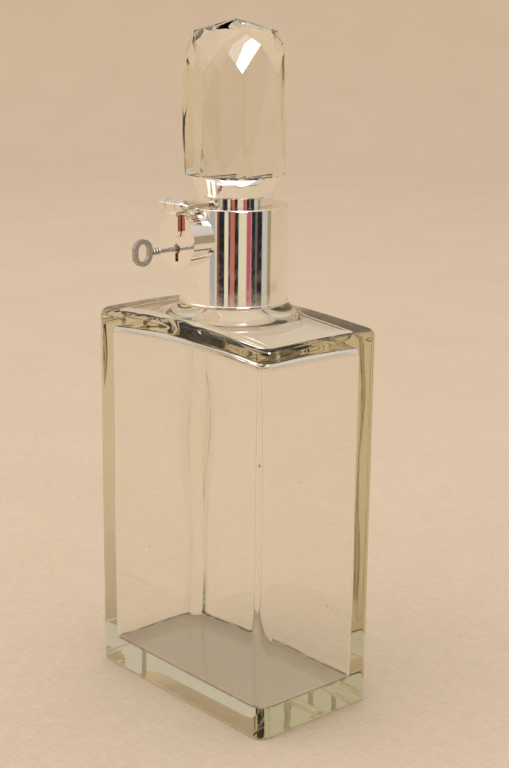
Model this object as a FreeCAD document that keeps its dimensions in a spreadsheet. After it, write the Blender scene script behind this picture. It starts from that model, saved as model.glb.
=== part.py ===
import FreeCAD, Part
import math
import os
import re
import Sketcher
from FreeCAD import Placement, Rotation, Vector

# A silver-mounted spirit decanter that locks. Millimetres. +Z is up, the origin is the centre of the
# bottle's flat base, and the lock and its key point to -Y.

SIZES = {
    # bottle
    "bottle_width": 112.0,
    "bottle_depth": 64.4,
    "edge_round": 6.0,
    "wall": 7.5,
    "base_thick": 11.0,
    "rim_round": 3.0,
    "base_round": 1.0,
    "shoulder_arc": 14.0,
    "shoulder_drop": 0.09,
    "neck_radius": 19.5,
    "neck_top": 213.1,
    "arc_height": 182.4,
    "inner_arc": 13.0,
    "inner_arc_height": 174.0,
    "inner_round": 3.0,
    "clear_reach": 80.0,
    # ground seat of the stopper
    "seat_bottom": 188.0,
    "seat_low_radius": 11.7,
    "seat_top_radius": 12.9,
    "seat_gap": 0.06,
    # collar
    "collar_radius": 22.84,
    "collar_wall": 1.1,
    "collar_foot": 173.4,
    "sleeve_foot": 174.95,
    "collar_top": 214.5,
    "ring_thick": 1.4,
    "ring_bore": 13.6,
    "bead_width": 0.46,
    # drum lock
    "drum_height": 201.83,
    "drum_radius": 11.31,
    "drum_bore": 10.1,
    "drum_face": 31.0,
    "face_thick": 1.0,
    "back_front": 24.1,
    "back_thick": 1.0,
    "back_radius": 9.9,
    "key_height": 198.5,
    "keyhole_radius": 2.1,
    "keyhole_foot": 193.3,
    "keyhole_width": 2.0,
    "slot_width": 2.7,
    "slot_foot": 203.6,
    "slot_back": 26.0,
    # works
    "bolt_back": 24.2,
    "bolt_thick": 1.1,
    "bolt_foot": 203.6,
    "bolt_top": 206.0,
    "bolt_left": 8.2,
    "bolt_right": 4.4,
    "talon_foot": 201.7,
    "talon_left": 6.1,
    "talon_right": 2.1,
    "peg_height": 207.0,
    "peg_depth": 28.6,
    "peg_radius": 0.7,
    "peg_tip": 1.6,
    "lever_back": 25.6,
    "lever_thick": 1.1,
    "post_side": 8.0,
    "post_height": 199.0,
    "post_radius": 0.7,
    "post_long": 4.4,
    "curtain_radius": 5.0,
    "curtain_thick": 0.7,
    "curtain_front": 29.85,
    "screw_side": 5.0,
    "screw_height": 195.0,
    "screw_head_radius": 1.1,
    "screw_head_thick": 0.7,
    "screw_radius": 0.5,
    "screw_long": 1.6,
    "screw_nick": 0.3,
    "stud_side": 2.9,
    "stud_radius": 0.55,
    "stud_long": 1.35,
    "guide_left": 1.2,
    "guide_right": 3.0,
    "guide_half": 0.62,
    "guide_arc": 0.64,
    "block_left": 7.6,
    "block_right": 5.4,
    "block_rise": 1.1,
    "belly": 203.6,
    "lever_top": 204.9,
    "lever_reach": 4.8,
    "spring_left": 8.6,
    "spring_right": 3.4,
    "spring_thick": 0.25,
    "spring_wide": 0.8,
    # key
    "shank_radius": 0.95,
    "tip_radius": 0.8,
    "bit_reach": 4.7,
    "bit_thick": 1.6,
    "bow_centre": 48.6,
    "bow_long": 4.5,
    "bow_tall": 5.5,
    "bow_wire": 0.95,
    "bow_flat": 0.9,
    "tip_back": 23.4,
    "shank_back": 24.3,
    "bead_near": 40.5,
    "bead_step": 1.4,
    "bead_wire": 0.48,
    "bit_front": 28.9,
    "ward_front": 27.6,
    "ward_back": 26.9,
    "step_front": 25.5,
    # stopper
    "stopper_top": 290.0,
    "kite_top": 285.0,
    "kite_side": 280.0,
    "kite_tip": 268.5,
    "kite_top_reach": 17.2,
    "head_foot": 227.0,
    "head_radius": 21.8,
    "nick_top": 241.6,
    "nick_depth": 0.9,
    "head_turn": -34.0,
    "waist_radius": 12.9,
    "plug_foot": 190.0,
    "mount_foot": 214.55,
    "mount_band": 218.3,
    "mount_radius": 16.2,
    "mount_rim": 19.2,
    "mount_wall": 0.9,
    "flare_arc": 14.0,
    # hasp
    "hinge_depth": 32.4,
    "hinge_height": 216.5,
    "knuckle_radius": 2.35,
    "knuckle_gap": 0.2,
    "barrel_half": 6.75,
    "pin_radius": 0.9,
    "pin_gap": 0.05,
    "tongue_half": 3.0,
    "tongue_back": 31.3,
    "tongue_thick": 1.6,
    "tongue_foot": 203.0,
    "strap_foot": 214.9,
    "strap_thick": 1.6,
    "strap_half": 4.0,
    "staple_half": 1.0,
    "staple_tip": 26.9,
    "staple_swing": 12.4,
    "staple_top": 210.2,
    "eye_radius": 1.0,
    "staple_foot": 200.0,
    "strap_end": 10.0,
    "bar_gap": 2.0,
    "bar_wide": 1.6,
    "piercing_half": 0.9,
    "piercing_near": 21.0,
    "piercing_far": 25.0,
    "cap_radius": 1.85,
    "cap_long": 0.7,
    "knob_radius": 1.0,
    "tongue_bead_drop": 3.6,
}

doc = FreeCAD.newDocument("LockingDecanter")
sheet = doc.addObject("Spreadsheet::Sheet", "Sizes")
for row, (alias, size) in enumerate(SIZES.items(), start=1):
    sheet.set(f"A{row}", alias)
    sheet.set(f"B{row}", str(size))
    sheet.setAlias(f"B{row}", alias)
doc.recompute()

finished = []


def linked(formula):
    """The formula with each driving dimension's name turned into its cell in the sheet."""
    def cell(word):
        return "Sizes." + word[0] if word[0] in SIZES else word[0]
    return re.sub(r"[a-z_]+", cell, str(formula))


def worth(formula):
    """The formula's value with the sheet's present sizes."""
    return float(sheet.evalExpression(linked(formula)))


def bind(thing, **formulas):
    """Bind properties to formulas; an underscore in a keyword stands for a dot."""
    for prop, formula in formulas.items():
        thing.setExpression(prop.replace("_", "."), linked(formula))


def finish(thing, label):
    """Name a finished sub-part; its label names its file too."""
    thing.Label = label
    finished.append(thing)
    return thing


# ---------------------------------------------------------------- sketches and bodies

def new_body(name):
    return doc.addObject("PartDesign::Body", name)


def new_sketch(body, name, plane="XZ", offset=None):
    """A sketch on one of the body's own origin planes, moved along the plane's normal by offset."""
    sketch = body.newObject("Sketcher::SketchObject", name)
    face = next(f for f in body.Origin.OriginFeatures if f.Role == f"{plane}_Plane")
    sketch.AttachmentSupport = [(face, "")]
    sketch.MapMode = "FlatFace"
    if offset is not None:
        sketch.AttachmentOffset = Placement(Vector(0, 0, worth(offset)), Rotation())
        bind(sketch, AttachmentOffset_Base_z=offset)
    return sketch


def pin_point(sketch, edge, end, across, up):
    """Hold one point of an edge at two formulas measured from the sketch's origin."""
    for kind, formula, axis in (("DistanceX", across, -2), ("DistanceY", up, -1)):
        place = worth(formula)
        if abs(place) < 1e-9:
            sketch.addConstraint(Sketcher.Constraint("PointOnObject", edge, end, axis))
        elif place > 0:
            index = sketch.addConstraint(Sketcher.Constraint(kind, -1, 1, edge, end, place))
            sketch.setExpression(f"Constraints[{index}]", linked(formula))
        else:
            index = sketch.addConstraint(Sketcher.Constraint(kind, edge, end, -1, 1, -place))
            sketch.setExpression(f"Constraints[{index}]", linked(f"-({formula})"))


def arc_between(start, end, radius):
    """A short arc; a positive radius puts its centre to the left of the way from start to end."""
    chord = end - start
    half = chord.Length / 2
    left = Vector(-chord.y, chord.x, 0).normalize()
    rise = math.sqrt(max(radius * radius - half * half, 0.0))
    centre = (start + end) * 0.5 + left * math.copysign(rise, radius)
    middle = centre - left * radius
    return Part.Arc(start, middle, end)


def outline(sketch, corners, arcs=None):
    """A closed loop through corners given as formulas; arcs maps an edge's number to its radius."""
    arcs = arcs or {}
    spots = [Vector(worth(x), worth(y), 0) for x, y in corners]
    count = len(corners)
    edges, starts = [], []
    for number, spot in enumerate(spots):
        after = spots[(number + 1) % count]
        if number in arcs:
            radius = worth(arcs[number])
            edges.append(sketch.addGeometry(arc_between(spot, after, radius), False))
            starts.append(2 if radius < 0 else 1)
        else:
            edges.append(sketch.addGeometry(Part.LineSegment(spot, after), False))
            starts.append(1)
    for number, edge in enumerate(edges):
        after = (number + 1) % count
        end = 3 - starts[number]
        sketch.addConstraint(Sketcher.Constraint("Coincident", edge, end, edges[after], starts[after]))
        pin_point(sketch, edge, starts[number], *corners[number])
        if number in arcs:
            size = Sketcher.Constraint("Radius", edge, abs(worth(arcs[number])))
            index = sketch.addConstraint(size)
            sketch.setExpression(f"Constraints[{index}]", linked(f"abs({arcs[number]})"))


def circle(sketch, across, up, radius):
    """A circle held at two formulas with its radius bound to a third."""
    spot = Vector(worth(across), worth(up), 0)
    shape = Part.Circle(spot, Vector(0, 0, 1), worth(radius))
    edge = sketch.addGeometry(shape, False)
    pin_point(sketch, edge, 3, across, up)
    index = sketch.addConstraint(Sketcher.Constraint("Radius", edge, worth(radius)))
    sketch.setExpression(f"Constraints[{index}]", linked(radius))


def pad(body, sketch, length, name="Pad"):
    feature = body.newObject("PartDesign::Pad", name)
    feature.Profile = sketch
    feature.Length = worth(length)
    bind(feature, Length=length)
    body.Tip = feature
    return feature


def pocket(body, sketch, name="Pocket"):
    """Cut right through, both ways from the sketch, and make sure that something was cut."""
    doc.recompute()
    before = body.Shape.Volume
    feature = body.newObject("PartDesign::Pocket", name)
    feature.Profile = sketch
    feature.Type = "ThroughAll"
    feature.Midplane = True
    body.Tip = feature
    doc.recompute()
    if not body.Shape.Volume < before - 1e-3:
        raise RuntimeError(f"{body.Name}: {name} cut nothing")
    return feature


def turned(label, corners, arcs=None):
    """A body of revolution round Z from an outline in the XZ plane."""
    body = new_body(label)
    sketch = new_sketch(body, label + "_profile")
    outline(sketch, corners, arcs)
    feature = body.newObject("PartDesign::Revolution", label + "_turn")
    feature.Profile = sketch
    feature.ReferenceAxis = (sketch, ["V_Axis"])
    feature.Angle = 360
    body.Tip = feature
    return body


def groove(body, corners, arcs, name):
    """Turn away the ring that an outline in the XZ plane sweeps round Z."""
    doc.recompute()
    before = body.Shape.Volume
    sketch = new_sketch(body, name + "_profile")
    outline(sketch, corners, arcs)
    feature = body.newObject("PartDesign::Groove", name)
    feature.Profile = sketch
    feature.ReferenceAxis = (sketch, ["V_Axis"])
    feature.Angle = 360
    body.Tip = feature
    doc.recompute()
    if not body.Shape.Volume < before - 1e-3:
        raise RuntimeError(f"{body.Name}: {name} cut nothing")


def round_edges(body, wanted, radius, name):
    """Fillet the edges of the body that the test picks."""
    doc.recompute()
    base = body.Tip
    names = [f"Edge{n}" for n, edge in enumerate(base.Shape.Edges, start=1) if wanted(edge.BoundBox)]
    feature = body.newObject("PartDesign::Fillet", name)
    feature.Base = (base, names)
    feature.Radius = worth(radius)
    bind(feature, Radius=radius)
    body.Tip = feature
    doc.recompute()
    if not feature.isValid():
        raise RuntimeError(f"{body.Name}: {name} failed")


def rounded_rectangle(sketch, half_width, half_depth, corner):
    """A rectangle on the origin with its four corners rounded."""
    inner_x, inner_y = f"({half_width} - {corner})", f"({half_depth} - {corner})"
    corners = [
        (f"-{inner_x}", f"-({half_depth})"), (inner_x, f"-({half_depth})"),
        (half_width, f"-{inner_y}"), (half_width, inner_y),
        (inner_x, half_depth), (f"-{inner_x}", half_depth),
        (f"-({half_width})", inner_y), (f"-({half_width})", f"-{inner_y}"),
    ]
    outline(sketch, corners, {edge: corner for edge in (1, 3, 5, 7)})


# ---------------------------------------------------------------- primitives and booleans

TURN = {"x": Rotation(Vector(0, 1, 0), 90), "y": Rotation(Vector(1, 0, 0), 90), "z": Rotation()}


def place(thing, across, deep, up):
    """Put a primitive at three formulas, measured along X, Y and Z."""
    bind(thing, Placement_Base_x=across, Placement_Base_y=deep, Placement_Base_z=up)
    return thing


def block(name, low, high):
    """A box from one corner to the other; a corner is three formulas."""
    box = doc.addObject("Part::Box", name)
    spans = [f"({b}) - ({a})" for a, b in zip(low, high)]
    bind(box, Length=spans[0], Width=spans[1], Height=spans[2])
    return place(box, *low)


def rod(name, axis, start, radius, length):
    """A cylinder from start along +X, -Y or +Z."""
    cylinder = doc.addObject("Part::Cylinder", name)
    cylinder.Placement = Placement(Vector(), TURN[axis])
    bind(cylinder, Radius=radius, Height=length)
    return place(cylinder, *start)


def ball(name, centre, radius):
    """A ball with its poles along X, so that what meets it cuts it along a line of latitude."""
    sphere = doc.addObject("Part::Sphere", name)
    sphere.Placement = Placement(Vector(), TURN["x"])
    bind(sphere, Radius=radius)
    return place(sphere, *centre)


def fuse(name, shapes):
    joined = doc.addObject("Part::MultiFuse", name)
    joined.Shapes = shapes
    joined.Refine = True
    return joined


def common(name, shapes):
    shared = doc.addObject("Part::MultiCommon", name)
    shared.Shapes = shapes
    shared.Refine = True
    return shared


def cut(name, base, tool):
    rest = doc.addObject("Part::Cut", name)
    rest.Base = base
    rest.Tool = tool
    rest.Refine = True
    return rest


# ---------------------------------------------------------------- bottle

def on_cavity_side(box):
    """True for an edge on the cavity's upright walls."""
    wide = max(abs(box.XMin), abs(box.XMax)) > worth("bottle_width / 2 - wall - inner_round - 0.1")
    deep = max(abs(box.YMin), abs(box.YMax)) > worth("bottle_depth / 2 - wall - inner_round - 0.1")
    return wide or deep


def make_bottle():
    """A rounded block whose top is turned down to a low shoulder and a neck, less its cavity."""
    outer = new_body("bottle_outside")
    sketch = new_sketch(outer, "bottle_plan", "XY")
    rounded_rectangle(sketch, "bottle_width / 2", "bottle_depth / 2", "edge_round")
    pad(outer, sketch, "neck_top")
    arc_foot = "(arc_height - shoulder_arc)"
    corner = "(neck_radius + shoulder_arc)"
    groove(outer, [
        ("neck_radius", "neck_top + 2"), ("neck_radius", "arc_height"),
        (corner, arc_foot), ("clear_reach", f"{arc_foot} - shoulder_drop * (clear_reach - {corner})"),
        ("clear_reach", "neck_top + 2"),
    ], {1: "shoulder_arc"}, "bottle_shoulder")
    half_w, half_d = worth("bottle_width / 2"), worth("bottle_depth / 2")

    def on_side(box):
        wide = max(abs(box.XMin), abs(box.XMax)) > half_w - 6.1
        deep = max(abs(box.YMin), abs(box.YMax)) > half_d - 6.1
        return wide or deep

    round_edges(outer, lambda box: on_side(box) and box.ZMin > 160, "rim_round", "bottle_rim")
    round_edges(outer, lambda box: box.ZMax < 0.01, "base_round", "bottle_base")

    inner = new_body("bottle_cavity")
    sketch = new_sketch(inner, "cavity_plan", "XY", "base_thick")
    rounded_rectangle(sketch, "(bottle_width / 2 - wall)", "(bottle_depth / 2 - wall)", "inner_round")
    pad(inner, sketch, "neck_top + 1 - base_thick")
    arc_foot = "(inner_arc_height - inner_arc)"
    corner = "(seat_low_radius + inner_arc)"
    groove(inner, [
        ("seat_top_radius", "neck_top"), ("seat_low_radius", "seat_bottom"),
        ("seat_low_radius", "inner_arc_height"), (corner, arc_foot),
        ("clear_reach", f"{arc_foot} - shoulder_drop * (clear_reach - {corner})"),
        ("clear_reach", "neck_top + 2"),
        ("seat_top_radius", "neck_top + 2"),
    ], {2: "inner_arc"}, "cavity_shoulder")
    round_edges(inner, lambda box: box.ZMax < 11.01 or (on_cavity_side(box) and box.ZMin > 150),
                "inner_round * 0.8", "cavity_rounds")
    finish(cut("glass_bottle", outer, inner), "glass_bottle")


# ---------------------------------------------------------------- collar

def make_collar():
    bore = "(collar_radius - collar_wall)"
    under_ring = "(collar_top - ring_thick)"
    finish(turned("plaster_bedding", [
        (bore, "sleeve_foot"), (bore, "neck_top"), ("neck_radius", "neck_top"),
        ("neck_radius", "arc_height"),
    ], {3: "shoulder_arc + 0.01"}), "plaster_bedding")
    finish(turned("collar_sleeve", [
        (bore, "sleeve_foot"), ("collar_radius", "sleeve_foot"),
        ("collar_radius", under_ring), (bore, under_ring),
    ]), "collar_sleeve")
    finish(turned("collar_top_ring", [
        ("ring_bore", under_ring), ("collar_radius", under_ring),
        ("collar_radius", "collar_top - 0.5"), ("collar_radius - 0.5", "collar_top"),
        ("ring_bore", "collar_top"),
    ], {2: "0.5"}), "collar_top_ring")
    bead_mid = "((collar_foot + sleeve_foot) / 2)"
    finish(turned("collar_foot_bead", [
        ("collar_radius", "collar_foot"), ("collar_radius + bead_width * 0.4", "collar_foot"),
        ("collar_radius + bead_width", bead_mid),
        ("collar_radius + bead_width * 0.4", "sleeve_foot"), ("collar_radius", "sleeve_foot"),
    ], {1: "0.9", 2: "0.9"}), "collar_foot_bead")


# ---------------------------------------------------------------- drum lock

def make_lock_case():
    """A drum wall scribed to the round collar, open at the top for the staple."""
    depth = "(drum_face - face_thick)"
    wall = rod("drum_wall", "y", ("0", "-15", "drum_height"), "drum_radius", f"{depth} - 15")
    bore = rod("drum_bore", "y", ("0", "-14", "drum_height"), "drum_bore", f"{depth} - 13")
    sleeve = rod("drum_scribe", "z", ("0", "0", "drum_height - 20"), "collar_radius", "40")
    slot = block("drum_slot", ("-slot_width / 2", f"-{depth} - 1", "drum_height + 5"),
                 ("slot_width / 2", "-slot_back", "drum_height + 15"))
    finish(cut("lock_case", wall, fuse("drum_cuts", [bore, sleeve, slot])), "lock_case")


def make_face_plate():
    """The front disc: a keyhole of a round and a foot, and a staple slot open at the top."""
    body = new_body("lock_face_plate")
    sketch = new_sketch(body, "face_plan", "XZ", "drum_face - face_thick")
    circle(sketch, "0", "drum_height", "drum_radius")
    pad(body, sketch, "face_thick")
    sketch = new_sketch(body, "keyhole_plan", "XZ", "drum_face")
    half = "(keyhole_width / 2)"
    neck = f"(key_height - sqrt(keyhole_radius ^ 2 - {half} ^ 2))"
    outline(sketch, [
        (f"-{half}", "keyhole_foot"), (half, "keyhole_foot"), (half, neck),
        ("0", "key_height + keyhole_radius"), (f"-{half}", neck),
    ], {2: "keyhole_radius", 3: "keyhole_radius"})
    pocket(body, sketch, "keyhole")
    sketch = new_sketch(body, "staple_slot_plan", "XZ", "drum_face")
    half = "(slot_width / 2)"
    top = "(drum_height + drum_radius + 1)"
    outline(sketch, [
        ("0", "slot_foot"), (half, "slot_foot + slot_width / 2"), (half, top), (f"-{half}", top),
        (f"-{half}", "slot_foot + slot_width / 2"),
    ], {0: "slot_width / 2", 4: "slot_width / 2"})
    pocket(body, sketch, "staple_slot")
    finish(body, "lock_face_plate")


def make_back_plate():
    """A disc with a hole that steadies the key's tip."""
    body = new_body("lock_back_plate")
    sketch = new_sketch(body, "back_plan", "XZ", "back_front - back_thick")
    circle(sketch, "0", "drum_height", "back_radius")
    pad(body, sketch, "back_thick")
    sketch = new_sketch(body, "tip_hole_plan", "XZ", "back_front")
    circle(sketch, "0", "key_height", "tip_radius + 0.1")
    for side in ("-screw_side", "screw_side"):
        circle(sketch, side, "screw_height", "screw_radius")
    pocket(body, sketch, "tip_hole")
    finish(body, "lock_back_plate")


def make_works_fixings():
    """Two slotted screws, the stud that guides the bolt, the lever's post and its leaf spring."""
    screws = []
    for number, side in enumerate(("-screw_side", "screw_side")):
        head = rod(f"screw_head_{number}", "y", (side, "-back_front", "screw_height"),
                   "screw_head_radius", "screw_head_thick")
        shank = rod(f"screw_shank_{number}", "y", (side, "-(back_front - screw_long)", "screw_height"),
                    "screw_radius", "screw_long")
        nick = block(f"screw_nick_{number}",
                     (f"{side} - screw_head_radius - 0.1", "-(back_front + screw_head_thick + screw_nick)",
                      "screw_height - screw_nick / 2"),
                     (f"{side} + screw_head_radius + 0.1", "-(back_front + screw_head_thick - screw_nick)",
                      "screw_height + screw_nick / 2"))
        screws.append(cut(f"screw_{number}", fuse(f"screw_blank_{number}", [head, shank]), nick))
    group = doc.addObject("Part::Compound", "back_plate_screws")
    group.Links = screws
    finish(group, "back_plate_screws")
    stud = rod("bolt_guide_stud", "y", ("stud_side", "-back_front", "(bolt_foot + bolt_top) / 2"),
               "stud_radius", "stud_long")
    finish(stud, "bolt_guide_stud")
    post = rod("lever_post", "y", ("-post_side", "-back_front", "post_height"), "post_radius",
               "post_long")
    finish(post, "lever_post")
    spring = new_body("lever_spring")
    sketch = new_sketch(spring, "spring_plan", "XZ", "lever_back + 0.15")
    outline(sketch, [
        ("-spring_left", "lever_top + 0.8 + spring_thick"), ("-spring_left", "lever_top + 0.8"),
        ("0.6", "lever_top + 0.4"), ("spring_right", "lever_top + 0.05"),
        ("spring_right", "lever_top + 0.05 + spring_thick"), ("0.6", "lever_top + 0.4 + spring_thick"),
    ])
    pad(spring, sketch, "spring_wide")
    finish(spring, "lever_spring")


def make_bolt():
    """A bar with a long guide slot and a wide talon notch, and a block that carries the peg."""
    body = new_body("lock_bolt")
    sketch = new_sketch(body, "bolt_plan", "XZ", "bolt_back")
    outline(sketch, [
        ("-bolt_left", "talon_foot"), ("-talon_left", "talon_foot"), ("-talon_left", "bolt_foot"),
        ("talon_right", "bolt_foot"), ("talon_right", "talon_foot"), ("bolt_right", "talon_foot"),
        ("bolt_right", "bolt_top"), ("-block_right", "bolt_top"),
        ("-block_right", "peg_height + block_rise"), ("-block_left", "peg_height + block_rise"),
        ("-bolt_left", "bolt_top"),
    ])
    pad(body, sketch, "bolt_thick", "bolt_bar")
    sketch = new_sketch(body, "bolt_slot_plan", "XZ", "bolt_back")
    middle = "((bolt_foot + bolt_top) / 2)"
    outline(sketch, [
        ("-guide_left", f"{middle} - guide_half"), ("guide_right", f"{middle} - guide_half"),
        ("guide_right", f"{middle} + guide_half"), ("-guide_left", f"{middle} + guide_half"),
    ], {1: "guide_arc", 3: "guide_arc"})
    pocket(body, sketch, "bolt_slot")
    sketch = new_sketch(body, "bolt_block_plan", "XZ", "bolt_back + bolt_thick")
    outline(sketch, [
        ("-block_left", "bolt_top + 0.1"), ("-block_right", "bolt_top + 0.1"),
        ("-block_right", "peg_height + block_rise"), ("-block_left", "peg_height + block_rise"),
    ])
    pad(body, sketch, "peg_depth + 0.9 - bolt_back - bolt_thick", "bolt_block")
    finish(body, "lock_bolt")
    peg = rod("peg_rod", "x", ("-block_right", "-peg_depth", "peg_height"), "peg_radius",
              "block_right - peg_tip - 0.5")
    nose = ball("peg_nose", ("-peg_tip - peg_radius", "-peg_depth", "peg_height"), "peg_radius")
    finish(fuse("bolt_peg", [peg, nose]), "bolt_peg")


def make_lever():
    """A thin lever on its post, its belly just above the sweep of the key's bit."""
    body = new_body("lock_lever")
    sketch = new_sketch(body, "lever_plan", "XZ", "lever_back")
    outline(sketch, [
        ("-post_side + 1.5", "post_height"), ("-5.9", "belly - 1"), ("-4.6", "belly"),
        ("lever_reach", "belly"), ("lever_reach", "lever_top"), ("-6.2", "lever_top"),
        ("-post_side", "belly - 1"),
        ("-post_side - 1.5", "post_height"), ("-post_side", "post_height - 1.5"),
    ], {0: "12", 7: "1.5", 8: "1.5"})
    pad(body, sketch, "lever_thick")
    sketch = new_sketch(body, "lever_bore_plan", "XZ", "lever_back")
    circle(sketch, "-post_side", "post_height", "post_radius + 0.06")
    pocket(body, sketch, "lever_bore")
    finish(body, "lock_lever")


def make_curtain():
    """A disc behind the keyhole, slotted to let the bit through, that turns with the key."""
    disc = rod("curtain_disc", "y", ("0", "-(curtain_front - curtain_thick)", "key_height"),
               "curtain_radius", "curtain_thick")
    bore = rod("curtain_bore", "y", ("0", "-curtain_front + 2", "key_height"),
               "shank_radius + 0.08", "4")
    slot = block("curtain_slot", ("-bit_thick / 2 - 0.1", "-curtain_front - 1", "key_height - 6"),
                 ("bit_thick / 2 + 0.1", "-curtain_front + 2", "key_height"))
    finish(cut("keyhole_curtain", disc, fuse("curtain_cuts", [bore, slot])), "keyhole_curtain")


def make_key():
    """An oval ring bow, a shank with turned beads and a stepped bit."""
    bow = new_body("key_bow")
    sketch = new_sketch(bow, "bow_plan", "YZ", "-bow_wire")
    middle = "key_height"
    for reach in ("0", "bow_wire * 1.9"):
        long, tall = f"(bow_long - {reach})", f"(bow_tall - {reach})"
        near, far = f"-bow_centre + {long}", f"-bow_centre - {long}"
        outline(sketch, [
            (far, f"{middle} - bow_flat"), ("-bow_centre", f"{middle} - {tall}"),
            (near, f"{middle} - bow_flat"), (near, f"{middle} + bow_flat"),
            ("-bow_centre", f"{middle} + {tall}"), (far, f"{middle} + bow_flat"),
        ], {edge: f"{long} * 1.02" for edge in (0, 1, 3, 4)})
    pad(bow, sketch, "bow_wire * 2", "bow_ring")
    root = "(bow_centre - bow_long + 0.6)"
    shank = rod("key_shank", "y", ("0", "-shank_back", "key_height"), "shank_radius",
                f"{root} - shank_back")
    tip = rod("key_tip", "y", ("0", "-tip_back", "key_height"), "tip_radius",
              "shank_back - tip_back + 0.3")
    pieces = [bow, shank, tip]
    for number in range(3):
        bead = doc.addObject("Part::Torus", f"key_bead_{number}")
        bead.Placement = Placement(Vector(), TURN["y"])
        bind(bead, Radius1="shank_radius", Radius2="bead_wire")
        pieces.append(place(bead, "0", f"-(bead_near + bead_step * {number})", "key_height"))
    half = "(bit_thick / 2)"
    bit = block("key_bit", (f"-{half}", "-bit_front", "key_height - bit_reach"),
                (half, "-shank_back", "key_height"))
    ward = block("key_ward", (f"-{half} - 1", "-ward_front", "key_height - bit_reach - 1"),
                 (f"{half} + 1", "-ward_back", "key_height - bit_reach + 1.6"))
    step = block("key_step", (f"-{half} - 1", "-step_front", "key_height - bit_reach - 1"),
                 (f"{half} + 1", "-shank_back + 0.3", "key_height - bit_reach + 0.5"))
    pieces.append(cut("key_bit_cut", bit, fuse("key_bit_steps", [ward, step])))
    finish(fuse("key", pieces), "key")


# ---------------------------------------------------------------- stopper

def eight_sides(name, up, reach, corner_first=True):
    """A regular octagon at a height, with its corners (or its flats) facing the head's eight edges."""
    polygon = doc.addObject("Part::RegularPolygon", name)
    polygon.Polygon = 8
    turn = worth("head_turn") + (0 if corner_first else 22.5)
    polygon.Placement = Placement(Vector(), Rotation(Vector(0, 0, 1), turn))
    bind(polygon, Circumradius=reach if corner_first else f"({reach}) / cos(22.5)")
    bind(polygon, Placement_Base_z=up)
    return polygon


def frustum(name, low, high):
    """A ruled solid between two octagons."""
    loft = doc.addObject("Part::Loft", name)
    loft.Sections = [low, high]
    loft.Solid = True
    loft.Ruled = True
    return loft


def make_stopper():
    """The head is an octagon cut by four rings of planes; a waist and a ground plug hang below."""
    flat = "(head_radius * cos(22.5))"
    side = f"({flat} * cos(22.5))"
    body = frustum("head_block", eight_sides("block_low", "head_foot", "head_radius"),
                   eight_sides("block_high", "stopper_top", "head_radius"))
    # Eight kites stand on the upright edges: each plane leans in from the kite's tip.
    lean = f"((head_radius - {side}) / (kite_side - kite_tip))"
    kites = frustum(
        "head_kites",
        eight_sides("kites_low", "head_foot", f"head_radius + {lean} * (kite_tip - head_foot)", False),
        eight_sides("kites_high", "stopper_top", f"head_radius - {lean} * (stopper_top - kite_tip)",
                    False))
    # Eight smaller kites fill the notches between them.
    small_top = "(kite_top_reach * cos(22.5))"
    steep = f"(({flat} - {small_top}) / (kite_top - kite_side))"
    notches = frustum(
        "head_notches",
        eight_sides("notches_low", "head_foot",
                    f"({flat} + {steep} * (kite_side - head_foot)) / cos(22.5)"),
        eight_sides("notches_high", "stopper_top",
                    f"({flat} - {steep} * (stopper_top - kite_side)) / cos(22.5)"))
    # A low eight-sided pyramid closes the top.
    slope = "(kite_top_reach / (stopper_top - kite_top))"
    roof = frustum(
        "head_roof",
        eight_sides("roof_low", "head_foot", f"{slope} * (stopper_top - head_foot)", False),
        eight_sides("roof_high", "stopper_top - 0.02", f"{slope} * 0.02", False))
    # A small three-cornered nick stands at the foot of each upright edge.
    nick = "(nick_depth / (nick_top - head_foot))"
    nicks = frustum(
        "head_nicks",
        eight_sides("nicks_low", "head_foot", "head_radius - nick_depth", False),
        eight_sides("nicks_high", "stopper_top",
                    f"head_radius + {nick} * (stopper_top - nick_top)", False))
    head = common("stopper_head", [body, kites, notches, roof, nicks])
    waist = rod("stopper_waist", "z", ("0", "0", "collar_top - 0.5"), "waist_radius",
                "head_foot + 0.5 - collar_top + 0.5")
    plug = doc.addObject("Part::Cone", "stopper_plug")
    taper = "((seat_top_radius - seat_low_radius) / (neck_top - seat_bottom))"
    bind(plug, Radius1=f"seat_low_radius + {taper} * (plug_foot - seat_bottom) - seat_gap",
         Radius2=f"seat_top_radius + {taper} * (collar_top - 0.5 - neck_top) - seat_gap",
         Height="collar_top - 0.5 - plug_foot")
    place(plug, "0", "0", "plug_foot")
    finish(fuse("stopper_glass", [head, waist, plug]), "stopper_glass")


def make_mount():
    """A flared silver ring with a flat foot, bedded on the waist."""
    rim = "(mount_rim - 0.3)"
    finish(turned("stopper_mount", [
        ("waist_radius + 0.1", "mount_foot"), ("mount_radius", "mount_foot"),
        ("mount_radius", "mount_band"), ("mount_radius - 0.4", "mount_band + 0.4"),
        (rim, "head_foot - 0.8"), ("mount_rim", "head_foot - 0.6"), ("mount_rim", "head_foot"),
        ("mount_rim - mount_wall - 0.4", "head_foot"),
        ("mount_radius - 0.4 - mount_wall", "mount_band + 0.6"),
        ("mount_radius - mount_wall", "mount_foot + mount_wall"),
        ("waist_radius + 0.1", "mount_foot + mount_wall"),
    ], {3: "-flare_arc", 7: "flare_arc"}), "stopper_mount")
    finish(turned("mount_bedding", [
        ("waist_radius", "mount_foot + mount_wall"),
        ("mount_radius - mount_wall", "mount_foot + mount_wall"),
        ("mount_radius - 0.4 - mount_wall", "mount_band + 0.6"),
        ("mount_rim - mount_wall - 0.4", "head_foot"), ("waist_radius", "head_foot"),
    ], {2: "-flare_arc"}), "mount_bedding")


# ---------------------------------------------------------------- hasp

def knuckle(name, start, end):
    """A length of the hinge's barrel between two places along X."""
    return rod(name, "x", (start, "-hinge_depth", "hinge_height"), "knuckle_radius",
               f"({end}) - ({start})")


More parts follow.
